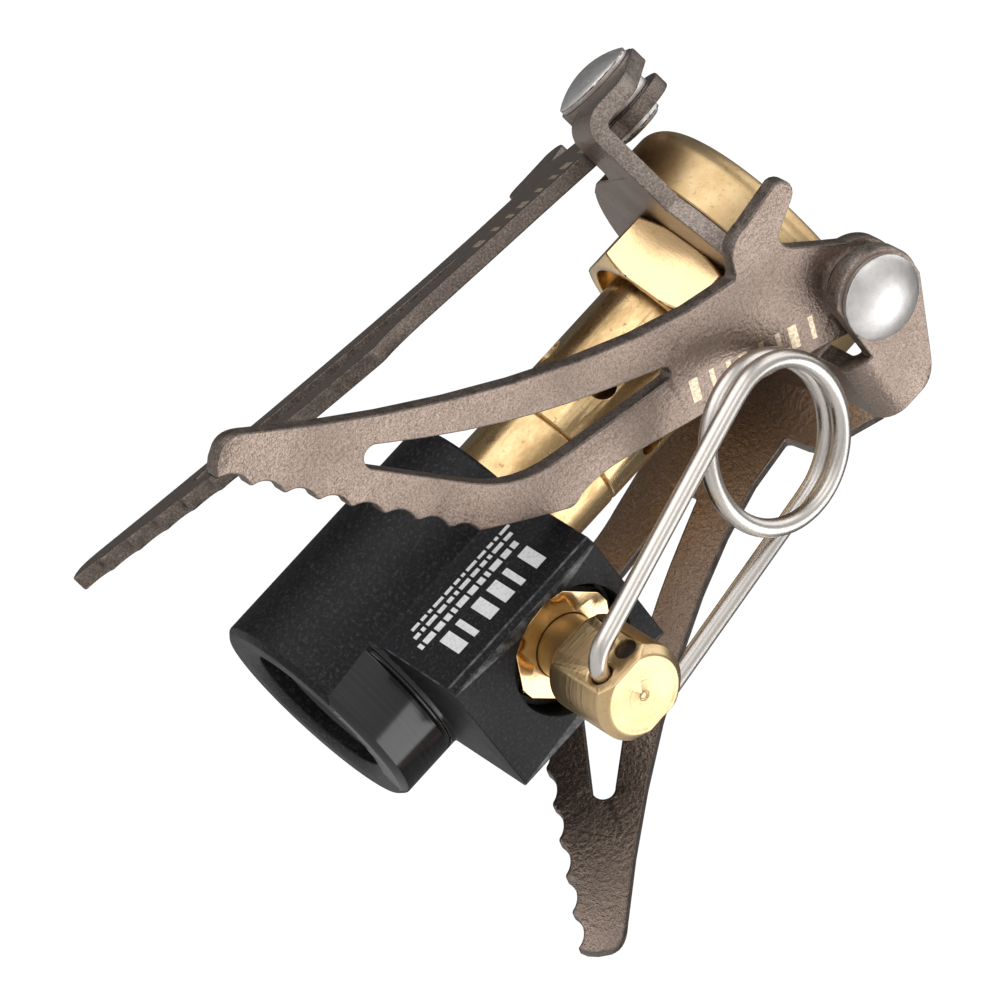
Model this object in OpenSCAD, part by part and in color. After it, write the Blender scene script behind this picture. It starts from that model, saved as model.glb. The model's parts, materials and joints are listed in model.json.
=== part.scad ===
// Folding canister stove, millimetres.
// Origin: centre of the canister socket mouth, +Z up the stove axis to the burner,
// +X out along the valve spindle. The stove is drawn folded, handle up.

/* [Valve body] */
// Radius of the round body
body_r = 7.9; // [7:0.1:9]
// Height of the body
body_h = 18.5; // [16:0.1:22]
// Width of the valve block
block_w = 11; // [9:0.1:13]
// Reach of the valve block from the stove axis
block_x = 13.8; // [12:0.1:16]
// Underside of the valve block
block_z = 5; // [3:0.1:7]
// Chamfer on the block's upright corners
block_c = 0.46; // [0.2:0.02:1]
// Wall radius of the canister thread (7/16-28 UNEF)
thread_r = 5.15; // [5.06:0.01:5.3]
// Depth of the canister socket
socket_depth = 9.2; // [8:0.1:10]
// Depth at which the socket's thread ends
thread_end = 5.8; // [5:0.1:6.5]
// Radius of the seal's recess behind the thread
seal_r = 5.5; // [5.3:0.05:6]
// Radius of the socket's chamfered mouth
mouth_r = 6.05; // [5.6:0.05:6.5]
// Depth of the socket's chamfered mouth
mouth_h = 0.4; // [0.2:0.05:0.8]

/* [Valve] */
// Height of the valve spindle above the base
valve_z = 13; // [12:0.1:14]
// Radius of the recess round the gland nut
recess_r = 4.6; // [4.2:0.05:5]
// Radius of the valve stem
stem_r = 2.25; // [1.8:0.05:2.6]
// Radius of the knob
knob_r = 3.35; // [3:0.05:4]
// Width across the knob's flats
knob_flat = 5.15; // [4:0.05:6.5]
// Where the knob starts along the spindle
knob_x0 = 15.2; // [14.5:0.1:17]
// Where the knob ends along the spindle
knob_x1 = 21.4; // [19:0.1:24]
// Wire hole: distance out along the spindle
hole_x = 19.65; // [17:0.05:21]
// Wire hole: height
hole_z = 12.07; // [11:0.01:13.5]
// Cross pin: distance out along the spindle
pin_x = 19.8; // [17:0.05:21]
// Cross pin: height
pin_z = 14.3; // [13.6:0.05:15]

/* [Wire handle] */
// Wire radius
wire_r = 0.65; // [0.5:0.05:0.9]
// Radius of the coil's centreline
coil_r = 5.6; // [4:0.1:7]
// Rise of the coil per turn
coil_pitch = 1.4; // [1.34:0.02:3]
// Height of the coil's centre
coil_z = 32; // [28:0.1:33]
// Distance of the near leg's top from the stove axis
coil_x = 15.05; // [13.5:0.05:18]
// Half spread of the legs where they meet the coil
coil_y = 5.95; // [4:0.05:7]
// Heading of the coil axis, degrees from +X
coil_az = -8; // [-30:1:0]

/* [Mixer tube and burner] */
// Outer radius of the mixer tube
tube_r = 4.86; // [4.5:0.02:5.5]
// Height of the joint between the jet holder and the tube
joint_z = 24; // [22:0.1:26]
// Height of the air holes
air_z = 28.2; // [26:0.1:31]
// Radius of the air holes
air_r = 1; // [0.5:0.05:1.4]
// Width across the flats of the hex nut
nut_af = 13; // [12:0.1:15]
// Underside of the hex nut
nut_z = 34.5; // [33:0.1:36]
// Radius of the burner head
burner_r = 9.75; // [9:0.05:11]
// Height of the burner head
burner_h = 4.45; // [3.5:0.05:6]
// Radius of the burner's rounded shoulder
burner_round = 1.6; // [1:0.1:3]

/* [Bracket and supports] */
// Underside of the star bracket
star_z = 38.85; // [37:0.05:41]
// Thickness of the star bracket
star_t = 1.3; // [1:0.05:2]
// Radius of the bracket's hub
hub_r = 10; // [9:0.1:11]
// Heading of the first arm, degrees from +X
arm_az = -4.6; // [-30:0.1:30]
// Inner edge of an arm, sideways from its radius
arm_s0 = 2.5; // [1:0.1:4]
// Outer edge of an arm, sideways from its radius
arm_s1 = 7.6; // [6:0.1:9]
// Outer face of the turned-up tab
tab_r = 14.55; // [13:0.05:17]
// Pivot: sideways from the arm's radius
piv_s = -0.6; // [-2:0.1:1]
// Pivot: height
piv_z = 43.5; // [42:0.1:46]
// Inner face of the folding support
sup_r = 11.1; // [10.5:0.05:12]
// Thickness of the folding support
sup_t = 1.15; // [0.8:0.05:1.6]
// Folded angle of the three supports, degrees
sup_fold = [210.5, 229.1, 217.6];
// Sideways set of the three supports, degrees (outward is positive)
sup_set = [-3.1, 5.2, -2.7];
// Pitch of the scallops on the supports
scallop_pitch = 2.6; // [2:0.1:4]
// Radius of a scallop
scallop_r = 1.6; // [1:0.1:3]
// Depth of a scallop
scallop_depth = 0.48; // [0.2:0.02:0.9]
// Radius of the rivet shanks
rivet_r = 1.5; // [1:0.05:2]

/* [Hidden] */
$fn = 64;
e = 0.01;
star_top = star_z + star_t;
tab_in = tab_r - star_t;
bend_x = tab_in - 0.5;
bend_z = star_top + 0.5;
burner_z = star_top;
burner_top = burner_z + burner_h;
nut_rc = nut_af / 2 / cos(30);
steps = 8;

brass = [0.80, 0.62, 0.32];
black = [0.07, 0.07, 0.08];
titan = [0.45, 0.41, 0.38];
steel = [0.75, 0.75, 0.76];
rubber = [0.12, 0.12, 0.12];

// ---------- helpers ----------
function bez(a, b, c, d) = [for (i = [0:steps - 1])
  let (t = i / steps, u = 1 - t)
  u * u * u * a + 3 * u * u * t * b + 3 * u * t * t * c + t * t * t * d];

module spin(pts) { rotate_extrude() polygon(pts); }

// a round bar or bore lying along the valve spindle
module along(x0, x1, r, r2 = undef) {
  translate([x0, 0, valve_z]) rotate([0, 90, 0])
    cylinder(h = x1 - x0, r1 = r, r2 = r2 == undef ? r : r2);
}

module arm(i) { rotate([0, 0, arm_az - 120 * i]) children(); }

// flat outline (sideways, height) stood up at a radius, thickness outward
module upright(r0, t) {
  translate([r0, 0, 0]) rotate([90, 0, 90]) linear_extrude(t) children();
}

// ---------- valve body ----------
module body_plan() {
  h = block_w / 2;
  polygon([[0, -h], [block_x - block_c, -h], [block_x, block_c - h], [block_x, h - block_c],
    [block_x - block_c, h], [0, h]]);
}

module valve_body() {
  color(black) difference() {
    union() {
      spin([[0, 0], [body_r - 0.4, 0], [body_r, 0.4], [body_r, body_h - 0.2],
        [body_r - 0.2, body_h], [0, body_h]]);
      translate([0, 0, block_z]) linear_extrude(body_h - block_z) body_plan();
    }
    // groove under the block
    difference() {
      translate([0, 0, block_z - 0.75]) cylinder(h = 0.35, r = body_r + 3);
      translate([0, 0, block_z - 1]) cylinder(h = 1, r = body_r - 0.25);
      translate([-20, -20, 0]) cube([20 + 5.5, 40, 10]);
    }
    // socket for the canister
    translate([0, 0, -1]) cylinder(h = thread_end + 1.5, r = thread_r);
    translate([0, 0, thread_end]) cylinder(h = socket_depth - thread_end, r = seal_r);
    translate([0, 0, -e]) cylinder(h = mouth_h, r1 = mouth_r, r2 = thread_r);
    translate([0, 0, socket_depth - e]) cylinder(h = 2, r = 2.6);
    translate([1.9, 0, 11]) cylinder(h = 2, r = 0.6);
    // needle seat, needle chamber, gland thread, recess
    along(-0.6, 1.4, 0.6);
    along(1.2, 5.6, 1.5);
    along(5.5, 11.9, 3.4);
    along(11.85, block_x + 1, recess_r);
    // outlet, jet bore, tube socket
    translate([0, 0, valve_z]) cylinder(h = 2, r = 0.6);
    translate([0, 0, 15.2]) cylinder(h = 1, r = 2.2);
    translate([0, 0, 16]) cylinder(h = 4, r = 3.9);
  }
}

module canister_seal() {
  color(rubber) translate([0, 0, socket_depth - 0.9])
    rotate_extrude() translate([4.55, 0]) circle(r = 0.9);
}

module inlet_fitting() {
  color(brass) difference() {
    spin([[0, 6], [0.7, 6], [1, 6.3], [1, 7.6], [3.2, 7.6], [3.4, 7.8], [3.4, 9.2],
      [2.57, 9.2], [2.57, 10.6], [0, 10.6]]);
    for (k = [0:3]) rotate([0, 0, 45 + 90 * k]) translate([1.9, 0, 5]) cylinder(h = 8, r = 0.4);
  }
}

module inlet_filter() {
  color(steel) translate([0, 0, 10.63]) cylinder(h = 0.5, r = 2.55);
}

// ---------- jet holder and mixer tube ----------
module jet() {
  color(brass) difference() {
    union() {
      translate([0, 0, 15.22]) cylinder(h = 1.3, r = 2.17);
      translate([0, 0, 16.5]) cylinder(h = 1.6, r = 2.75, $fn = 6);
      translate([0, 0, 18.08]) cylinder(h = 0.7, r1 = 1.9, r2 = 1.2);
    }
    translate([0, 0, 15]) cylinder(h = 2.8, r = 0.7);
    translate([0, 0, 15]) cylinder(h = 5, r = 0.18);
  }
}

module jet_holder() {
  color(brass) difference() {
    spin([[0, 16.03], [3.6, 16.03], [3.87, 16.3], [3.87, body_h], [tube_r - 0.15, body_h],
      [tube_r, body_h + 0.15], [tube_r, joint_z - 0.15], [tube_r - 0.15, joint_z], [0, joint_z]]);
    translate([0, 0, 16]) cylinder(h = 3.5, r = 2.85);
    translate([0, 0, 19]) cylinder(h = 6, r = 3.3);
    translate([0, 0, 21.5]) cylinder(h = 4, r = 4.1);
  }
}

module mixer_tube() {
  color(brass) difference() {
    spin([[0, 21.6], [3.8, 21.6], [4.07, 21.9], [4.07, joint_z], [tube_r - 0.15, joint_z],
      [tube_r, joint_z + 0.15], [tube_r, star_z], [4.4, star_z], [4.4, burner_z + 1.6],
      [0, burner_z + 1.6]]);
    translate([0, 0, 20]) cylinder(h = 25, r = 3.3);
    for (k = [0:4]) rotate([0, 0, -52 + 72 * k]) translate([0, 0, air_z]) rotate([0, 90, 0])
      cylinder(h = 8, r = air_r);
  }
}

module hex_nut() {
  color(brass) difference() {
    intersection() {
      rotate([0, 0, -72 + 30]) translate([0, 0, nut_z]) cylinder(h = star_z - nut_z, r = nut_rc, $fn = 6);
      spin([[0, nut_z], [6.6, nut_z], [nut_rc, nut_z + 0.55], [nut_rc, star_z - 0.55],
        [6.6, star_z], [0, star_z]]);
    }
    translate([0, 0, nut_z - 1]) cylinder(h = 8, r = tube_r + 0.03);
    translate([0, 0, nut_z - 1]) cylinder(h = 2.9, r = 5.95);
  }
}

// ---------- valve ----------
module gland_nut() {
  color(brass) difference() {
    union() {
      along(7.9, 11.9, 3.37);
      intersection() {
        translate([11.88, 0, valve_z]) rotate([0, 90, 0]) rotate([0, 0, 7])
          cylinder(h = 1.05, r = 4.35, $fn = 6);
        along(11.88, 12.93, 4.35, 4.05);
      }
    }
    along(7, 14, stem_r + 0.04);
  }
}

module stem_ring(x) {
  color(rubber) translate([x, 0, valve_z]) rotate([0, 90, 0])
    rotate_extrude() translate([2.83, 0]) circle(r = 0.54);
}
module stem_seal_inner() { stem_ring(6.15); }
module stem_seal_outer() { stem_ring(7.3); }

module valve_spindle() {
  color(brass) {
    along(1.05, 2.1, 0.25, 1);
    along(2.1 - e, 5.6, 1);
    along(5.6 - e, 5.9, 1, stem_r);
    along(5.9 - e, 18.2, stem_r);
  }
}

module knob() {
  color(brass) difference() {
    intersection() {
      union() {
        along(knob_x0, knob_x0 + 0.55, knob_r - 0.55, knob_r);
        along(knob_x0 + 0.55 - e, knob_x1 - 0.6, knob_r);
        along(knob_x1 - 0.6 - e, knob_x1, knob_r, knob_r - 0.55);
      }
      translate([knob_x0 - 1, -knob_flat / 2, 0]) cube([10, knob_flat, 30]);
    }
    along(knob_x0 - 1, 18.2, stem_r + 0.02);
    translate([hole_x, 5, hole_z]) rotate([90, 0, 0]) cylinder(h = 10, r = 0.72);
    for (m = [0, 1]) mirror([0, m, 0]) translate([hole_x, -knob_flat / 2 - e, hole_z])
      rotate([-90, 0, 0]) cylinder(h = 0.3, r1 = 0.95, r2 = 0.7);
    translate([pin_x, 5, pin_z]) rotate([90, 0, 0]) cylinder(h = 10, r = 0.75);
    along(knob_x1 - 0.12, knob_x1 + 1, 0.3);
  }
}

module knob_pin() {
  color(steel) translate([pin_x, knob_flat / 2 - 0.25, pin_z]) rotate([90, 0, 0])
    cylinder(h = knob_flat - 0.5, r = 0.73);
}

// ---------- wire handle ----------
ch = [cos(coil_az + 90), sin(coil_az + 90), 0];
lean0 = [-0.222, 0, 0.975];
lean1 = lean0 - (lean0 * ch) * ch;
cv = lean1 / norm(lean1);
cn = cross(ch, cv);
near_top = [coil_x, -coil_y, coil_z];
coil_c = near_top + coil_r * ch;
function coil(a) = coil_c - cn * coil_pitch * a / 360 + coil_r * (sin(a) * cv - cos(a) * ch);
far_top = coil(540);
near_foot = [hole_x - 0.35, -4.05, hole_z + 1.9];
far_foot = [hole_x - 0.35, 3.5, hole_z + 1.9];
near_hole = [hole_x, -knob_flat / 2 + 0.1, hole_z];
far_hole = [hole_x, knob_flat / 2 - 0.1, hole_z];
near_dir = (near_top - near_foot) / norm(near_top - near_foot);
far_dir = (far_top - far_foot) / norm(far_top - far_foot);
wire_path = concat(
  [near_hole + [0, 1.3, 0]],
  bez(near_hole, near_hole - [0, 1.1, 0], near_foot - 0.9 * near_dir, near_foot),
  [near_foot, near_foot + 5 * near_dir, near_top - 5 * near_dir],
  [for (a = [0:10:540]) coil(a)],
  [far_top - 5 * far_dir, far_foot + 5 * far_dir],
  bez(far_foot, far_foot - 0.9 * far_dir, far_hole + [0, 1.1, 0], far_hole),
  [far_hole, far_hole - [0, 1.3, 0]]);
wn = len(wire_path);
ws = 20;
function wt(i) = let (d = wire_path[min(i + 1, wn - 1)] - wire_path[max(i - 1, 0)]) d / norm(d);
function wring(i) = let (t = wt(i), b0 = cross(t, cn), b = b0 / norm(b0), c = cross(t, b))
  [for (k = [0:ws - 1]) wire_path[i] + wire_r * (cos(360 * k / ws) * b + sin(360 * k / ws) * c)];

module wire_handle() {
  pts = [for (i = [0:wn - 1]) each wring(i)];
  side = [for (i = [0:wn - 2], k = [0:ws - 1])
    let (a = i * ws + k, b = i * ws + (k + 1) % ws, c = a + ws, d = b + ws)
    each [[a, d, b], [a, c, d]]];
  cap0 = [[for (k = [0:ws - 1]) k]];
  cap1 = [[for (k = [0:ws - 1]) (wn - 1) * ws + ws - 1 - k]];
  color(steel) polyhedron(points = pts, faces = concat(side, cap0, cap1));
}

// ---------- star bracket ----------
module tab_outline() {
  polygon(concat([[piv_s - 1, bend_z - 2], [piv_s - 1, piv_z], [piv_s, piv_z + 3.25],
    [piv_s + 1.3, piv_z + 3.2]],
    bez([piv_s + 6.6, piv_z + 0.5], [piv_s + 7.6, piv_z], [arm_s1, piv_z - 0.6],
      [arm_s1, piv_z - 1.6]),
    [[arm_s1, piv_z - 1.6], [arm_s1, bend_z - 2]]));
}

module star_arm() {
  w = arm_s1 - arm_s0;
  ri = 0.5;
  translate([6, arm_s0, star_z]) cube([bend_x - 6, w, star_t]);
  // quarter bend
  intersection() {
    difference() {
      translate([bend_x, 20, bend_z]) rotate([90, 0, 0]) cylinder(h = 40, r = star_t + ri);
      translate([bend_x, 25, bend_z]) rotate([90, 0, 0]) cylinder(h = 50, r = ri);
    }
    translate([bend_x, arm_s0, star_z - 1]) cube([5, w, bend_z - star_z + 1]);
  }
  // turned-up tab
  intersection() {
    translate([tab_in, -10, bend_z]) cube([star_t, 30, 12]);
    union() {
      upright(tab_in - 1, star_t + 2) tab_outline();
      translate([tab_in - 1, piv_s, piv_z]) rotate([0, 90, 0]) cylinder(h = star_t + 2, r = 3.3);
    }
  }
  // fillet into the hub
  difference() {
    translate([0, 0, star_z]) linear_extrude(star_t)
      polygon([[9, arm_s0 + 0.5], [9, 1.3], [10.3, 1.3], [10.95, 2], [10.95, arm_s0 + 0.5]]);
    translate([10.88, arm_s0 - 0.98, star_z - 1]) cylinder(h = star_t + 2, r = 1);
  }
}

module star_bracket() {
  color(titan) difference() {
    union() {
      translate([0, 0, star_z]) cylinder(h = star_t, r = hub_r);
      for (i = [0:2]) arm(i) star_arm();
    }
    translate([0, 0, star_z - 1]) cylinder(h = 5, r = 4.43);
    for (i = [0:2]) arm(i) translate([tab_in - 1, piv_s, piv_z]) rotate([0, 90, 0])
      cylinder(h = 5, r = rivet_r + 0.01);
  }
}

// ---------- folding supports: outline drawn open, pivot at 0,0 ----------
sup_outer = concat(
  [[-1.7, -1.5], [1.3, -2.75]],
  bez([5.9, -1.5], [6.8, -1.2], [7.6, -1.5], [7.7, -2.5]),
  bez([7.6, -4.4], [7.6, -5.8], [9.3, -5.8], [9.5, -4.8]),
  bez([10.4, -2.1], [11, -1.0], [11, -0.2], [10.4, 0.5]),
  [[9.85, 1.25]],
  bez([9.8, 1.6], [15.8, 8.6], [29.8, 14.9], [41.3, 18.1]),
  bez([41.3, 18.1], [42.6, 18.4], [43.15, 18.9], [43.15, 19.9]),
  [[43.1, 20.4], [42.9, 21.1], [42.6, 21.5], [22.4, 21.4], [20.8, 20.75], [18.2, 19.65]],
  bez([16.4, 18.8], [15.9, 18.6], [15.6, 18.4], [15.45, 17.8]),
  bez([15.4, 17.5], [15, 16.3], [13.6, 14.9], [12, 13.65]),
  [[12, 13.65], [9.2, 11.3], [5.5, 8.0], [1.4, 4.7], [-2.0, 2.3]]);
sup_hole = concat(
  bez([12.9, 8.35], [18.5, 11.8], [22.5, 14.3], [31.9, 17.17]),
  [[31.9, 17.17], [31.75, 18.75], [25.2, 18.35]],
  bez([25.2, 18.35], [22.4, 18.2], [20.2, 17.9], [17.9, 15.35]),
  [[17.9, 15.35], [12.2, 9.1]]);
chord = 26;
kink = 3.4;

// the outline and its cuts, thick enough to take the bent sheet
module sup_cut(r, t) {
  difference() {
    union() {
      upright(r, t) polygon(sup_outer);
      translate([r, 0, 0]) rotate([0, 90, 0]) cylinder(h = t, r = 3.3);
    }
    upright(r - 1, t + 2) polygon(sup_hole);
    translate([r - 1, 12.55, 8.72]) rotate([0, 90, 0]) cylinder(h = t + 2, r = 0.51);
    translate([r - 1, 31.75, 17.95]) rotate([0, 90, 0]) cylinder(h = t + 2, r = 0.8);
    for (k = [0:7]) translate([r - 1, 41.3 - scallop_pitch * k, 21.45 - scallop_depth + scallop_r])
      rotate([0, 90, 0]) cylinder(h = t + 2, r = scallop_r);
    translate([r - 1, 0, 0]) rotate([0, 90, 0]) cylinder(h = t + 2, r = rivet_r + 0.04);
  }
}

// sheet running flat over the pivot, then set over by an angle beyond it
module sup_sheet(a) {
  reach = 60;
  r1 = sup_r + sup_t;
  rise = (reach - kink) * tan(a);
  rotate([chord, 0, 0]) translate([0, 0, -40]) linear_extrude(80)
    polygon([[sup_r, -8], [sup_r, kink], [sup_r + rise, reach],
      [sup_r + rise + sup_t / cos(a), reach], [r1, kink - sup_t * tan(a / 2)], [r1, -8]]);
}

module support(i) {
  color(titan) arm(i) translate([0, piv_s, piv_z]) rotate([sup_fold[i], 0, 0]) intersection() {
    sup_cut(sup_r - 6, sup_t + 12);
    sup_sheet(sup_set[i]);
  }
}
module pot_support_a() { support(0); }
module pot_support_b() { support(1); }
module pot_support_c() { support(2); }

module rivet(i) {
  color(steel) arm(i) translate([0, piv_s, piv_z]) rotate([0, 90, 0]) {
    translate([0, 0, sup_r - 0.75]) cylinder(h = 0.25, r1 = 1.6, r2 = 1.9);
    translate([0, 0, sup_r - 0.5 - e]) cylinder(h = 0.46, r = 1.9);
    translate([0, 0, sup_r - 0.1]) cylinder(h = tab_r - sup_r + 0.2, r = rivet_r);
    translate([0, 0, tab_r]) cylinder(h = 0.4, r = 2.95);
    intersection() {
      translate([0, 0, tab_r + 0.4 - e]) cylinder(h = 2, r = 2.95);
      translate([0, 0, tab_r + 1.25 - 5.6]) sphere(r = 5.6);
    }
  }
}
module pivot_rivet_a() { rivet(0); }
module pivot_rivet_b() { rivet(1); }
module pivot_rivet_c() { rivet(2); }

module washer(i) {
  color(steel) arm(i) translate([sup_r + sup_t + 0.03, piv_s, piv_z]) rotate([0, 90, 0])
    difference() {
      cylinder(h = tab_in - sup_r - sup_t - 0.03, r = 2.5);
      translate([0, 0, -1]) cylinder(h = 4, r = rivet_r + 0.01);
    }
}
module pivot_washer_a() { washer(0); }
module pivot_washer_b() { washer(1); }
module pivot_washer_c() { washer(2); }

// ---------- burner ----------
module burner_head() {
  r = burner_round;
  color(brass) difference() {
    rotate_extrude() union() {
      translate([0, burner_z + 0.15]) square([burner_r, burner_h - r - 0.15]);
      translate([0, burner_z]) square([burner_r - 0.15, burner_h - r]);
      translate([0, burner_z]) square([burner_r - r, burner_h]);
      intersection() {
        translate([burner_r - r, burner_top - r]) circle(r = r);
        square([30, 60]);
      }
    }
    translate([0, 0, burner_z - 1]) cylinder(h = 8, r = 4.43);
    translate([0, 0, burner_z + 1.1]) cylinder(h = 2.3, r = burner_r - 1);
    translate([0, 0, burner_z + 2]) cylinder(h = 8, r = 7.2);
  }
}

module burner_plate() {
  z = burner_top - 0.75;
  color(brass) difference() {
    translate([0, 0, z]) cylinder(h = 0.6, r = 7.17);
    for (k = [0:23]) rotate([0, 0, 15 * k]) translate([6.1, 0, z - 1]) cylinder(h = 3, r = 0.42);
    for (k = [0:17]) rotate([0, 0, 20 * k]) translate([4.5, 0, z - 1]) cylinder(h = 3, r = 0.42);
    for (k = [0:9]) rotate([0, 0, 36 * k]) translate([2.8, 0, z - 1]) cylinder(h = 3, r = 0.42);
    translate([0, 0, z - 1]) cylinder(h = 3, r = 0.62);
  }
}

module flame_mesh() {
  color(steel) difference() {
    translate([0, 0, burner_top - 1.05]) cylinder(h = 0.28, r = 7.15);
    translate([0, 0, burner_top - 2]) cylinder(h = 3, r = 0.62);
  }
}

module plate_rivet() {
  color(steel) {
    translate([0, 0, burner_top - 1.3]) cylinder(h = 1.4, r = 0.6);
    translate([0, 0, burner_top - 1.45]) cylinder(h = 0.38, r = 1.1);
    translate([0, 0, burner_top - 0.15]) cylinder(h = 0.35, r1 = 1.5, r2 = 1.1);
  }
}

valve_body();
canister_seal();
inlet_fitting();
inlet_filter();
jet();
jet_holder();
mixer_tube();
gland_nut();
stem_seal_inner();
stem_seal_outer();
valve_spindle();
knob();
knob_pin();
wire_handle();
hex_nut();
star_bracket();
burner_head();
burner_plate();
flame_mesh();
plate_rivet();
pot_support_a();
pot_support_b();
pot_support_c();
pivot_rivet_a();
pivot_rivet_b();
pivot_rivet_c();
pivot_washer_a();
pivot_washer_b();
pivot_washer_c();
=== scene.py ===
import json
import math

import bmesh
import bpy
from mathutils import Matrix, Vector
from mathutils.bvhtree import BVHTree


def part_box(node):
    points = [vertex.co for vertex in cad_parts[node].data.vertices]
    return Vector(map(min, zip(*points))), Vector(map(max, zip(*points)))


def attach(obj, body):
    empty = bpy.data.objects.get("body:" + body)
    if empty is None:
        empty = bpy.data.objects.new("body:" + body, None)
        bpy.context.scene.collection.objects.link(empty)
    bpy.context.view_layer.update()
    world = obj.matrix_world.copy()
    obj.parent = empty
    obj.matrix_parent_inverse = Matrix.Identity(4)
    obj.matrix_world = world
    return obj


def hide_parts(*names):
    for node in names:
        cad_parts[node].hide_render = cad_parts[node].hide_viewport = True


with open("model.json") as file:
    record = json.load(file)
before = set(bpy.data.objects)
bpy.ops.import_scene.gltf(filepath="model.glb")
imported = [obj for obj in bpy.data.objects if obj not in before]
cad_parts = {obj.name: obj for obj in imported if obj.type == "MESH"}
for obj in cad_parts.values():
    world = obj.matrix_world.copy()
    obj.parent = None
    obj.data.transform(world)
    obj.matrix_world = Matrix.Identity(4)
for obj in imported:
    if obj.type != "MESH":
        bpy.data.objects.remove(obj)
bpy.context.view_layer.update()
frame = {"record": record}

MM = 0.001
scene = bpy.context.scene
record = frame["record"]
BODY_OF = {n: b for b, nodes in record["behaviour"]["bodies"].items() for n in nodes}
JOINT = {j["name"]: j for j in record["behaviour"]["joints"]}


def corner(node, k):
    """Lowest (k=0) or highest (k=1) corner of a CAD node."""
    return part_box(node)[k] / MM


# driving dimensions, some of them read off the frame
THREAD_R = next(m for m in record["mounts"] if m["name"] == "canister_thread")["dims"]["r_mm"]
THREAD_PITCH = 25.4 / 28
THREAD_Z0, THREAD_Z1 = 1.0, 5.75
CREST, ROOT = 0.07, 0.34  # half widths of a thread ridge
BODY_R = -corner("valve_body", 0).x
BLOCK_Z = 5.0  # underside of the valve block
BLOCK_FACE_Y = -5.5  # the block's flat side that carries the print
BLOCK_EDGE_X, BLOCK_EDGE_Y = BODY_R - 2, 4.5  # the block's rounded corners lie beyond these
RING_X, RING_R = 5.55, 6.2  # the turned ring under the block starts past both
VALVE_Z = JOINT["valve_turn"]["pos_m"][2] / MM
STAR_Z = corner("star_bracket", 0).z
STAR_T = corner("burner_head", 0).z - STAR_Z
TAB_IN = 13.25  # inner face of the bracket's tabs, from the stove's axis
# degrees from each support's own outline axes to its place at rest
SUPPORT_FOLD = {"a": 210.5, "b": 229.1, "c": 217.6}
SHEET_ROUND = 0.13  # rounding of the punched sheet's edges
FACING = 0.93  # cosine above which a face counts as square to a direction
FLAT_ANGLE, EDGE_ANGLE, SHADE_ANGLE = (math.radians(a) for a in (0.01, 28, 32))
FLOOR, FLOOR_Z = 3, -0.16  # the floor's half width and height, in metres
CAMERA_AT = (379.6, -357.7, -74.8)
LENS, SENSOR = 289.9, 36


# ---------------------------------------------------------------- materials
class Mat:
    """A small helper round one material's node tree."""

    def __init__(self, name):
        self.m = bpy.data.materials.new(name)
        self.m.use_nodes = True
        self.t = self.m.node_tree
        self.b = self.t.nodes["Principled BSDF"]
        self.co = self.t.nodes.new("ShaderNodeTexCoord").outputs["Object"]
        self.height = None

    def put(self, sock, v):
        if isinstance(v, bpy.types.NodeSocket):
            self.t.links.new(v, sock)
        elif isinstance(v, tuple) and len(v) == 3 and sock.type == "RGBA":
            sock.default_value = (*v, 1)
        else:
            sock.default_value = v

    def node(self, kind, out, *values, **props):
        n = self.t.nodes.new("ShaderNode" + kind)
        for k, v in props.items():
            setattr(n, k, v)
        for s, v in zip(n.inputs, values):
            if v is not None:
                self.put(s, v)
        return n.outputs[out]

    def math(self, op, a, b=0.0):
        return self.node("Math", 0, a, b, operation=op)

    def scaled(self, *s):
        n = self.t.nodes.new("ShaderNodeMapping")
        self.put(n.inputs["Vector"], self.co)
        n.inputs["Scale"].default_value = s
        return n.outputs[0]

    def lathe(self, axis, centre):
        """(radius, place along the axis), constant round a turned part."""
        i = "XYZ".index(axis)
        s = self.t.nodes.new("ShaderNodeSeparateXYZ")
        self.put(s.inputs[0], self.co)
        a, b = [j for j in range(3) if j != i]
        da = self.math("SUBTRACT", s.outputs[a], centre[0] * MM)
        db = self.math("SUBTRACT", s.outputs[b], centre[1] * MM)
        r2 = self.math("ADD", self.math("MULTIPLY", da, da), self.math("MULTIPLY", db, db))
        return self.node("CombineXYZ", 0, self.math("SQRT", r2), s.outputs[i])

    def noise(self, vec, scale, detail=2.0, rough=0.5):
        n = self.t.nodes.new("ShaderNodeTexNoise")
        self.put(n.inputs["Vector"], vec)
        for k, v in (("Scale", scale), ("Detail", detail), ("Roughness", rough)):
            n.inputs[k].default_value = v
        return n.outputs["Fac"]

    def range(self, v, a, b, c, d):
        return self.node("MapRange", 0, v, a, b, c, d)

    def ramp(self, v, *stops):
        n = self.t.nodes.new("ShaderNodeValToRGB")
        self.put(n.inputs[0], v)
        e = n.color_ramp.elements
        while len(e) < len(stops):
            e.new(0.5)
        for q, (p, col) in zip(e, stops):
            q.position = p
            q.color = (*col, 1)
        return n.outputs[0]

    def mix(self, fac, a, b):
        n = self.t.nodes.new("ShaderNodeMix")
        n.data_type = "RGBA"
        for s, v in ((n.inputs[0], fac), (n.inputs[6], a), (n.inputs[7], b)):
            self.put(s, v)
        return n.outputs[2]

    def bump(self, h, dist, strength=1.0):
        n = self.t.nodes.new("ShaderNodeBump")
        n.inputs["Distance"].default_value = dist * MM
        n.inputs["Strength"].default_value = strength
        self.put(n.inputs["Height"], h)
        if self.height is not None:
            self.put(n.inputs["Normal"], self.height)
        self.height = n.outputs[0]
        self.put(self.b.inputs["Normal"], self.height)

    def done(self, base, rough, metal=1.0, specular=0.5):
        for k, v in (("Base Color", base), ("Roughness", rough), ("Metallic", metal),
                     ("Specular IOR Level", specular)):
            self.put(self.b.inputs[k], v)
        return self.m


def tint(col, k):
    return tuple(min(1.0, k * c) for c in col)


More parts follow.
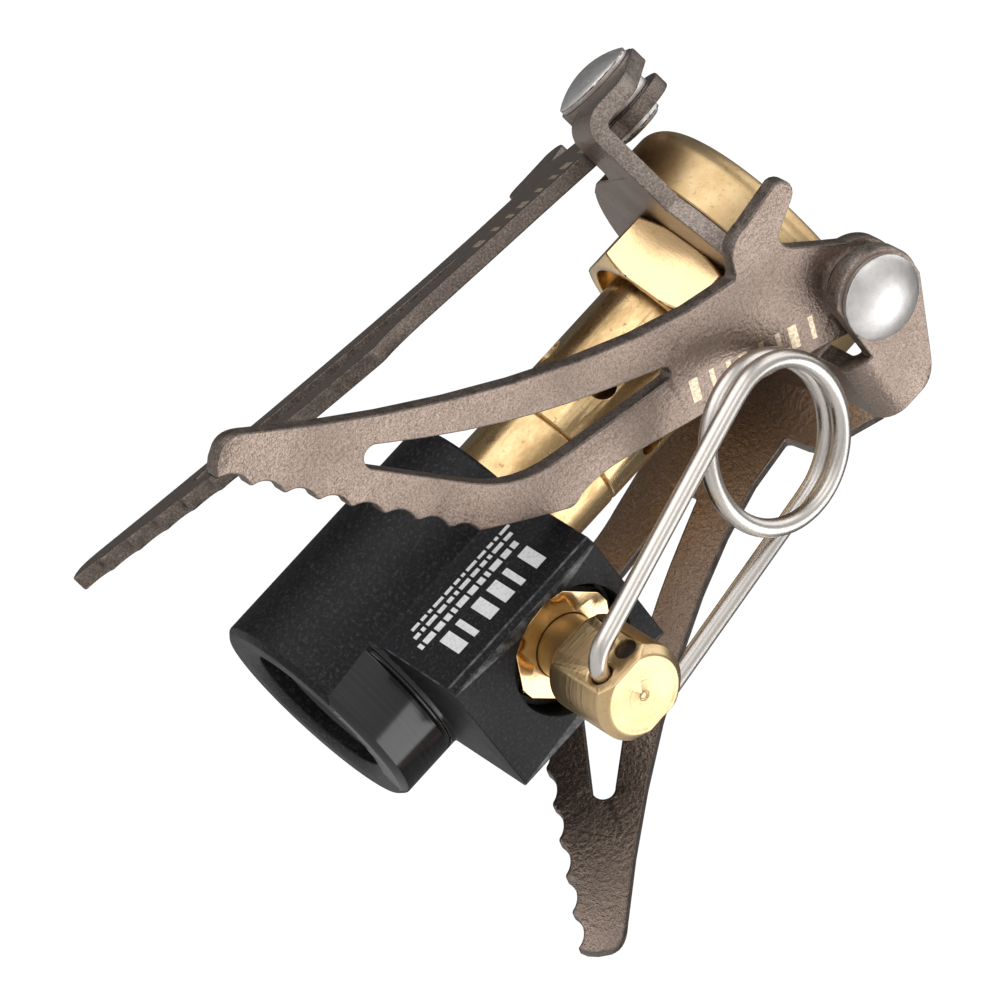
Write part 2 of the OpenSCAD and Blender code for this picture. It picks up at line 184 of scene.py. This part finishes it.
def titanium(name, col):
    """Bead-blasted sheet: fine sandy grain, slow warm and cool patches."""
    m = Mat(name)
    grain = m.noise(m.co, 7600, 3, 0.62)
    coarse = m.noise(m.co, 3300, 2, 0.5)
    patch = m.noise(m.co, 170, 3, 0.5)
    c = m.ramp(grain, (0.34, tint(col, 0.68)), (0.5, col), (0.68, tint(col, 1.3)))
    c = m.mix(m.range(patch, 0.38, 0.66, 0.0, 0.45), c, tint(col, 0.62))
    m.bump(coarse, 0.07, 1.0)
    m.bump(grain, 0.03, 1.0)
    return m.done(c, m.range(patch, 0.3, 0.7, 0.30, 0.40), 0.95)


def sheared(name, col):
    """Punched edge of the sheet: fine grain over darker torn patches."""
    m = Mat(name)
    fine = m.noise(m.co, 7200, 2, 0.6)
    tear = m.noise(m.co, 1300, 3, 0.55)
    c = m.ramp(fine, (0.36, tint(col, 0.62)), (0.52, col), (0.68, tint(col, 1.4)))
    c = m.mix(m.range(tear, 0.46, 0.66, 0.0, 0.45), c, tint(col, 0.5))
    m.bump(tear, 0.03, 0.8)
    m.bump(fine, 0.02, 0.8)
    return m.done(c, m.range(tear, 0.35, 0.65, 0.5, 0.36), 0.95)


def brass_turned(name, axis="Z", centre=(0, 0), rough=(0.2, 0.32), lines=0.006, tone=1.0,
                 tarnish=0.3, density=5200, specks=0.35):
    """Lathe-turned brass: tool lines round the axis, light tarnish and pin specks."""
    m = Mat(name)
    ring = m.noise(m.lathe(axis, centre), density, 3, 0.6)
    patch = m.noise(m.co, 300, 4, 0.6)
    speck = m.noise(m.co, 3400, 3, 0.6)
    hi, lo, dark = (0.86, 0.63, 0.35), (0.66, 0.43, 0.19), (0.36, 0.22, 0.09)
    c = m.mix(m.range(patch, 0.42, 0.7, 0, tarnish), tint(hi, tone), tint(lo, tone))
    c = m.mix(m.range(speck, 0.58, 0.74, 0, specks), c, tint(dark, tone))
    m.bump(ring, lines, 1.0)
    m.bump(speck, 0.006, 0.5)
    mixed = m.math("ADD", patch, m.math("MULTIPLY", ring, 0.4))
    return m.done(c, m.range(mixed, 0.45, 0.95, *rough))


def brass_drawn(name):
    """Drawn tube: streaks along the stove's axis, blotched brown tarnish, dark pits."""
    m = Mat(name)
    streak = m.noise(m.scaled(1, 1, 0.05), 3400, 4, 0.6)
    blotch = m.noise(m.scaled(1, 1, 0.55), 420, 5, 0.68)
    pits = m.noise(m.co, 2300, 4, 0.7)
    c = m.mix(m.range(streak, 0.35, 0.7, 0, 0.35), (0.82, 0.60, 0.32), (0.62, 0.40, 0.17))
    c = m.mix(m.range(blotch, 0.44, 0.64, 0, 0.7), c, (0.42, 0.25, 0.10))
    c = m.mix(m.range(pits, 0.60, 0.70, 0, 0.7), c, (0.20, 0.11, 0.05))
    m.bump(streak, 0.010, 0.8)
    m.bump(pits, 0.012, 0.6)
    return m.done(c, m.range(blotch, 0.4, 0.65, 0.2, 0.38))


def black_blasted(name):
    """Black anodising over a blasted surface: deep black with fine grey specks painted in as glints, a
    painted highlight.
    """
    m = Mat(name)
    grain = m.noise(m.co, 4200, 4, 0.7)
    patch = m.noise(m.co, 260, 3, 0.5)
    # the grey stops of this ramp paint glints into the colour
    c = m.ramp(grain, (0.42, (0.003, 0.003, 0.004)), (0.56, (0.010, 0.010, 0.012)),
               (0.72, (0.06, 0.06, 0.064)))
    m.bump(grain, 0.050, 1.0)
    return m.done(c, m.range(patch, 0.35, 0.7, 0.34, 0.46), 0.0, 0.24)


def black_grey_corners(name):
    """Lighter grey mottle on the valve block's rounded corners."""
    m = Mat(name)
    corner_mottle = m.noise(m.co, 1500, 4, 0.7)
    c = m.ramp(corner_mottle, (0.40, (0.010, 0.010, 0.011)), (0.62, (0.10, 0.10, 0.105)))
    return m.done(c, 0.3, 0.3, 0.5)


def black_turned(name, axis="Z", centre=(0, 0)):
    m = Mat(name)
    ring = m.noise(m.lathe(axis, centre), 4200, 2, 0.5)
    m.bump(ring, 0.003, 1.0)
    c = m.ramp(ring, (0.35, (0.004, 0.004, 0.005)), (0.7, (0.014, 0.013, 0.015)))
    return m.done(c, 0.14, 0.0, 0.6)


def polished(name, col, rough, mottle=0.3, dark=0.5, scale=1100, bump=0.004):
    m = Mat(name)
    patch = m.noise(m.co, scale, 4, 0.65)
    fine = m.noise(m.co, 5600, 3, 0.6)
    c = m.mix(m.range(patch, 0.42, 0.72, 0, mottle), col, tint(col, dark))
    c = m.mix(m.range(fine, 0.58, 0.72, 0, mottle * 0.7), c, tint(col, dark))
    m.bump(patch, bump * 2, 0.6)
    m.bump(fine, bump, 0.6)
    return m.done(c, m.range(fine, 0.3, 0.7, *rough))


def rubber(name):
    m = Mat(name)
    g = m.noise(m.co, 2600, 3, 0.6)
    m.bump(g, 0.02, 0.8)
    return m.done(m.ramp(g, (0.35, (0.010, 0.010, 0.010)), (0.7, (0.028, 0.028, 0.027))), 0.6, 0.0)


def woven(name, pitch=0.32):
    """Fine wire cloth: two crossed sets of wires, with painted shade in the holes between."""
    m = Mat(name)
    s = m.t.nodes.new("ShaderNodeSeparateXYZ")
    m.put(s.inputs[0], m.co)
    k = 2 * math.pi / (pitch * MM)
    wx, wy = [m.math("SINE", m.math("MULTIPLY", s.outputs[i], k)) for i in (0, 1)]
    w = m.math("MAXIMUM", wx, wy)
    m.bump(w, 0.05, 1.0)
    # the dark end of the ramp is painted shade where the holes are
    return m.done(m.ramp(m.range(w, -0.2, 0.8, 0, 1), (0.0, (0.01, 0.01, 0.01)),
                         (1.0, (0.42, 0.36, 0.30))), 0.35)


def ink(name, dark, light, rough, metal):
    """Worn print or etched mark."""
    m = Mat(name)
    g = m.noise(m.co, 5200, 3, 0.6)
    return m.done(m.ramp(g, (0.3, dark), (0.55, light)), rough, metal)


TI = titanium("ti_blasted", (0.325, 0.253, 0.210))
# one sheared finish in two tones: the supports' darker edge tone is painted shade, the bracket's
# lighter one painted light
TI_EDGE_SHADED = sheared("ti_sheared", (0.215, 0.175, 0.15))
TI_STRAP_LIT = sheared("ti_sheared_bracket", (0.33, 0.275, 0.24))
BRASS_HEAD = brass_turned("brass_burner", rough=(0.30, 0.42), lines=0.014, tone=0.79, tarnish=0.9,
                          specks=0.6)
BRASS_NUT = brass_turned("brass_nut", rough=(0.16, 0.28), lines=0.003, tone=1.14, tarnish=0.25)
BRASS_PLATE = brass_turned("brass_plate", rough=(0.24, 0.36), lines=0.010, tarnish=0.5)
BRASS_KNOB = brass_turned("brass_knob", "X", (0, VALVE_Z), (0.26, 0.38), 0.03, 0.9, 0.35, 4200)
# the spindle's brass at half tone is painted shade: a painted reflection of the black valve block
# beside it
BRASS_STEM_SHADED = brass_turned("brass_stem_shaded", "X", (0, VALVE_Z), (0.3, 0.45), 0.01, 0.5, 0.9)
BRASS_GLAND = brass_turned("brass_gland", "X", (0, VALVE_Z), (0.10, 0.16), 0.001, 1.04, 0.2)
BRASS_SMALL = brass_turned("brass_small")
BRASS_TUBE = brass_drawn("brass_drawn")
BLACK = black_blasted("black_blasted")
BLACK_RING = black_turned("black_turned")
BLACK_EDGE = black_grey_corners("black_grey_corners")
RUBBER = rubber("seal_rubber")
WIRE = polished("wire_polished", (0.70, 0.655, 0.61), (0.26, 0.34), 0.07, 0.7, 600, 0.0004)
RIVET = polished("rivet_bright", (0.78, 0.755, 0.735), (0.36, 0.48), 0.4, 0.6, 1300, 0.006)
PIN = polished("pin_dark", (0.10, 0.085, 0.075), (0.3, 0.45), 0.5, 0.5, 1500, 0.02)
MESH = woven("wire_cloth")
PRINT = ink("white_print", (0.66, 0.66, 0.67), (0.84, 0.84, 0.84), 0.5, 0.0)
ETCH = ink("etched_mark", (0.42, 0.33, 0.23), (0.78, 0.65, 0.47), 0.4, 0.8)


# ---------------------------------------------------------------- meshes
def link(name, mesh, node=None, body=None):
    """Put a mesh in the scene, riding on a body; a node's stand-in replaces it."""
    o = bpy.data.objects.new(name, mesh)
    scene.collection.objects.link(o)
    if node:
        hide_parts(node)
    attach(o, body or BODY_OF[node])
    return o


def to_mesh(bm, name, *mats):
    bmesh.ops.scale(bm, vec=(MM, MM, MM), verts=bm.verts)
    me = bpy.data.meshes.new("m_" + name)
    bm.to_mesh(me)
    bm.free()
    for x in mats:
        me.materials.append(x)
    return me


def node_bm(node):
    """A CAD node's mesh in millimetres, with its corners welded."""
    bm = bmesh.new()
    bm.from_mesh(bpy.data.objects[node].data)
    bmesh.ops.scale(bm, vec=(1 / MM, 1 / MM, 1 / MM), verts=bm.verts)
    bmesh.ops.remove_doubles(bm, verts=bm.verts, dist=0.002)
    return bm


def dress(node, *mats, width=0.1, dome=False, pick=None):
    """The node's own shape with its corners rounded, riding where the node rides.

    Only exactly flat faces are joined first: joining more can fill a slot or a hole.
    """
    bm = node_bm(node)
    cad = BVHTree.FromBMesh(bm)
    bmesh.ops.dissolve_limit(bm, angle_limit=FLAT_ANGLE, verts=bm.verts, edges=bm.edges)
    bmesh.ops.dissolve_degenerate(bm, dist=0.002, edges=bm.edges)
    if dome:  # the crowded points of a dome, which would shade as a dot
        bmesh.ops.dissolve_verts(bm, verts=[v for v in bm.verts if len(v.link_edges) > 8])
    es = [e for e in bm.edges if len(e.link_faces) == 2 and e.calc_face_angle(0) > EDGE_ANGLE]
    bmesh.ops.bevel(bm, geom=es, offset=width, offset_type="OFFSET", segments=2, profile=0.5,
                    affect="EDGES", clamp_overlap=False)
    for v in bm.verts:
        near, _, _, off = cad.find_nearest(v.co)
        if off > 0.6 * width:  # a rounding that ran past a short edge
            v.co = near
    # known fault: this call leaves the hexagon nut and the pivot rivets inside out
    bmesh.ops.recalc_face_normals(bm, faces=bm.faces)
    if pick:
        for f in bm.faces:
            f.material_index = pick(f)
    me = to_mesh(bm, node, *mats)
    me.shade_smooth()
    me.set_sharp_from_angle(angle=SHADE_ANGLE)
    o = link("look_" + node, me, node)
    w = o.modifiers.new("normals", "WEIGHTED_NORMAL")
    w.keep_sharp = True
    w.weight = 100
    return o


def heading(k):
    return Vector(JOINT["support_%s_swing" % k]["axis"])


def plate_pick(k):
    """0 on the blasted faces of a support, 1 on its sheared edges."""
    d = heading(k)
    return lambda f: 0 if abs(f.normal.dot(d)) > FACING else 1


def star_pick(f):
    """0 on the bracket's blasted faces, 1 on its sheared edges."""
    c, n = f.calc_center_median(), f.normal
    d = max((heading(k) for k in "abc"), key=c.dot)
    side = Vector((-d.y, d.x, 0))
    if c.z > STAR_Z + STAR_T + 0.5:
        return 0 if abs(n.dot(d)) > FACING else 1
    if c.dot(d) > TAB_IN - 0.6:
        return 0 if abs(n.dot(side)) < 0.4 else 1
    return 0 if abs(n.z) > FACING else 1


def body_pick(f):
    """1 on the turned ring under the valve block, 2 on the block's rounded corners."""
    c = f.calc_center_median()
    if c.z < BLOCK_Z - 0.1:
        return 1 if c.x > RING_X and c.xy.length > RING_R else 0
    narrow = 2 * f.calc_area() < 0.12 * f.calc_perimeter()
    return 2 if narrow and c.x > BLOCK_EDGE_X and abs(c.y) > BLOCK_EDGE_Y else 0


def smooth_wire(node, mat):
    """The bent wire, made rounder than its CAD solid."""
    bm = node_bm(node)
    bmesh.ops.join_triangles(bm, faces=bm.faces, angle_face_threshold=0.9,
                             angle_shape_threshold=3.0, cmp_seam=False, cmp_sharp=False)
    me = to_mesh(bm, node, mat)
    me.shade_smooth()
    o = link("look_" + node, me, node)
    o.modifiers.new("round", "SUBSURF").levels = 1
    o.modifiers["round"].render_levels = 1
    return o


def thread(name, mat, depth=0.32, steps=48):
    """Helical ridges that stand in from the socket's wall, tapering at both ends."""
    bm = bmesh.new()
    turns = (THREAD_Z1 - THREAD_Z0) / THREAD_PITCH - 0.6
    n = int(turns * steps)
    rows = []
    for i in range(n + 1):
        a = 2 * math.pi * i / steps
        z = THREAD_Z0 + 0.3 + THREAD_PITCH * i / steps
        fade = min(1.0, i / 10, (n - i) / 10)
        r = THREAD_R + 0.02
        top = r - depth * fade
        ring = ((r, -ROOT), (top, -CREST), (top, CREST), (r, ROOT))
        rows.append([bm.verts.new((q * math.cos(a), q * math.sin(a), z + h)) for q, h in ring])
    for p, q in zip(rows, rows[1:]):
        for j in range(4):
            bm.faces.new((p[j], q[j], q[(j + 1) % 4], p[(j + 1) % 4]))
    bm.faces.new(rows[0])
    bm.faces.new(rows[-1][::-1])
    bmesh.ops.recalc_face_normals(bm, faces=bm.faces)
    me = to_mesh(bm, name, mat)
    me.shade_smooth()
    me.set_sharp_from_angle(angle=math.radians(30))
    return link(name, me, body="stove")


def marks(name, mat, node, origin, u, v, shapes, lift=0.02):
    """Flat marks laid on a node's surface. Shapes are outlines along u and v from the origin."""
    n = u.cross(v).normalized()
    src = node_bm(node)
    tree = BVHTree.FromBMesh(src)
    src.free()
    bm = bmesh.new()
    for shape in shapes:
        rings = []
        for h in (lift, -lift):
            ring = []
            for a, b in shape:
                hit = tree.ray_cast(origin + a * u + b * v + 6 * n, -n)[0]
                ring.append(bm.verts.new(hit + h * n))
            rings.append(ring)
        top, low = rings
        bm.faces.new(top)
        bm.faces.new(low[::-1])
        for j in range(len(top)):
            k = (j + 1) % len(top)
            bm.faces.new((top[j], low[j], low[k], top[k]))
    bmesh.ops.recalc_face_normals(bm, faces=bm.faces)
    return link(name, to_mesh(bm, name, mat), body=BODY_OF[node])


def bar(a, b, w, h, slant=0.0):
    """An upright or slanted bar with its lower left corner at a, b."""
    return [(a, b), (a + w, b), (a + w + slant, b + h), (a + slant, b + h)]


# ---------------------------------------------------------------- the stove
dress("valve_body", BLACK, BLACK_RING, BLACK_EDGE, pick=body_pick)
thread("socket_thread", BLACK_RING)
dress("jet_holder", BRASS_TUBE, width=0.08)
dress("mixer_tube", BRASS_TUBE, width=0.06)
dress("hex_nut", BRASS_NUT, width=0.12)
dress("gland_nut", BRASS_GLAND, width=0.08)
dress("knob", BRASS_KNOB, width=0.1)
dress("knob_pin", PIN, width=0.06)
dress("burner_head", BRASS_HEAD, width=0.08)
dress("star_bracket", TI, TI_STRAP_LIT, width=SHEET_ROUND, pick=star_pick)
for k in "abc":
    dress("pot_support_" + k, TI, TI_EDGE_SHADED, width=SHEET_ROUND, pick=plate_pick(k))
    dress("pivot_rivet_" + k, RIVET, width=0.1, dome=True)
    dress("pivot_washer_" + k, RIVET, width=0.05)
smooth_wire("wire_handle", WIRE)

for node, mat in (("canister_seal", RUBBER), ("inlet_fitting", BRASS_SMALL), ("inlet_filter", MESH),
                  ("jet", BRASS_SMALL), ("stem_seal_inner", RUBBER), ("stem_seal_outer", RUBBER),
                  ("valve_spindle", BRASS_STEM_SHADED), ("burner_plate", BRASS_PLATE), ("flame_mesh", MESH),
                  ("plate_rivet", RIVET)):
    bpy.data.objects[node].material_slots[0].material = mat

# generic print on the block's flat side: a row of bars and three rows of dashes
face = Vector((0, BLOCK_FACE_Y, 0))
AX, AZ = Vector((1, 0, 0)), Vector((0, 0, 1))
BAR_X, BAR_Z, BAR_STEP, BAR_LONG = 9.8, 7.4, 1.5, 2.1
DASH_ROWS = ((8.6, 0.55), (7.75, 0.36), (7.1, 0.28))  # each row's place and height
DASH_START, DASH_END, DASH_GAP = 6.3, 15.6, 0.2
big = [bar(BAR_X, BAR_Z + BAR_STEP * k, BAR_LONG, 0.5 if k % 3 == 1 else 0.95) for k in range(6)]
small = []
for row, (x, h) in enumerate(DASH_ROWS):
    z = DASH_START + 0.35 * row
    k = 0
    while z < DASH_END:
        w = 0.3 + 0.2 * ((3 * k + row) % 4)
        small.append(bar(x, z, h, w))
        z += w + DASH_GAP
        k += 1
marks("block_print", PRINT, "valve_body", face, AX, AZ, big + small)

# generic etched bars near each support's hinge, along its lower edge
for k in "abc":
    d = heading(k)
    turn = Matrix.Rotation(math.radians(SUPPORT_FOLD[k]), 3, d)
    s_axis, h_axis = turn @ Vector((-d.y, d.x, 0)), turn @ Vector((0, 0, 1))
    along = (0.78 * s_axis + 0.625 * h_axis).normalized()
    across = d.cross(along)
    pivot = Vector(JOINT["support_%s_swing" % k]["pos_m"]) / MM
    start = pivot + 2.9 * s_axis + 2.6 * h_axis
    row = [bar(1.3 * j, 0, 0.36 + 0.3 * (j % 3 == 1), 1.7) for j in range(8)]
    marks("etched_marks_" + k, ETCH, "pot_support_" + k, start, along, across, row, 0.012)

# ---------------------------------------------------------------- camera
right = Vector((0.5922, 0.4556, 0.6645)).normalized()
up = Vector((-0.3676, -0.5811, 0.7260))
up = (up - up.dot(right) * right).normalized()
back = right.cross(up)
cam = bpy.data.objects.new("camera", bpy.data.cameras.new("camera"))
scene.collection.objects.link(cam)
pose = Matrix((right, up, back)).transposed().to_4x4()
pose.translation = Vector(CAMERA_AT) * MM
cam.matrix_world = pose
cam.data.lens = LENS
cam.data.sensor_width = SENSOR
cam.data.clip_start = 0.01
cam.data.clip_end = 20
scene.camera = cam


# ---------------------------------------------------------------- studio
def seen(x, y, z):
    """A direction given as the photographer stands: right, up and towards them."""
    return x * right + y * up + z * back


world = bpy.data.worlds.new("studio")
scene.world = world
world.use_nodes = True
wt = world.node_tree
coord = wt.nodes.new("ShaderNodeTexCoord")
dot = wt.nodes.new("ShaderNodeVectorMath")
dot.operation = "DOT_PRODUCT"
dot.inputs[1].default_value = back
wt.links.new(coord.outputs["Generated"], dot.inputs[0])
half = wt.nodes.new("ShaderNodeMapRange")
half.inputs[1].default_value = -1
wt.links.new(dot.outputs["Value"], half.inputs[0])
sky = wt.nodes.new("ShaderNodeValToRGB")
for q in range(2):
    sky.color_ramp.elements.new(0.5)
for el, (p, g) in zip(sky.color_ramp.elements, ((0, 0.10), (0.45, 0.15), (0.62, 0.5), (1, 0.80))):
    el.position = p
    el.color = (g, g, g, 1)
wt.links.new(half.outputs[0], sky.inputs[0])
bg = wt.nodes["Background"]
wt.links.new(sky.outputs[0], bg.inputs[0])
white = wt.nodes.new("ShaderNodeBackground")
white.inputs[0].default_value = (1, 1, 1, 1)
white.inputs[1].default_value = 1.05
ray = wt.nodes.new("ShaderNodeLightPath")
either = wt.nodes.new("ShaderNodeMixShader")
wt.links.new(ray.outputs["Is Camera Ray"], either.inputs[0])
wt.links.new(bg.outputs[0], either.inputs[1])
wt.links.new(white.outputs[0], either.inputs[2])
wt.links.new(either.outputs[0], wt.nodes["World Output"].inputs[0])
scene.view_settings.view_transform = "Standard"

paper = Mat("floor_paper")
paper = paper.done(paper.ramp(paper.noise(paper.co, 30), (0, (0.88, 0.88, 0.88)),
                              (1, (0.92, 0.92, 0.92))), 0.7, 0.0)
floor_mesh = bpy.data.meshes.new("floor")
floor_mesh.from_pydata([(x, y, FLOOR_Z) for x, y in ((-FLOOR, -FLOOR), (FLOOR, -FLOOR), (FLOOR, FLOOR),
                                                     (-FLOOR, FLOOR))], [], [(0, 1, 2, 3)])
floor_mesh.materials.append(paper)
floor = bpy.data.objects.new("floor", floor_mesh)
scene.collection.objects.link(floor)

middle = Vector((0, 0, 24)) * MM


def softbox(name, direction, dist, size, power, tall=None):
    d = Vector(direction).normalized()
    lamp = bpy.data.lights.new(name, "AREA")
    lamp.shape = "RECTANGLE"
    lamp.size = size
    lamp.size_y = tall or size
    lamp.energy = power
    o = bpy.data.objects.new(name, lamp)
    o.location = middle + d * dist
    o.rotation_euler = d.to_track_quat("Z", "Y").to_euler()
    scene.collection.objects.link(o)


softbox("key", seen(-0.43, 0.76, 0.49), 0.7, 0.75, 2.0)
softbox("fill", seen(0.85, -0.5, 0.1), 0.8, 0.6, 2.5)
softbox("top", (0, 0, 1), 0.9, 0.9, 3.0)
softbox("front", seen(0.5, 0.35, 0.8), 0.9, 0.35, 0.5)
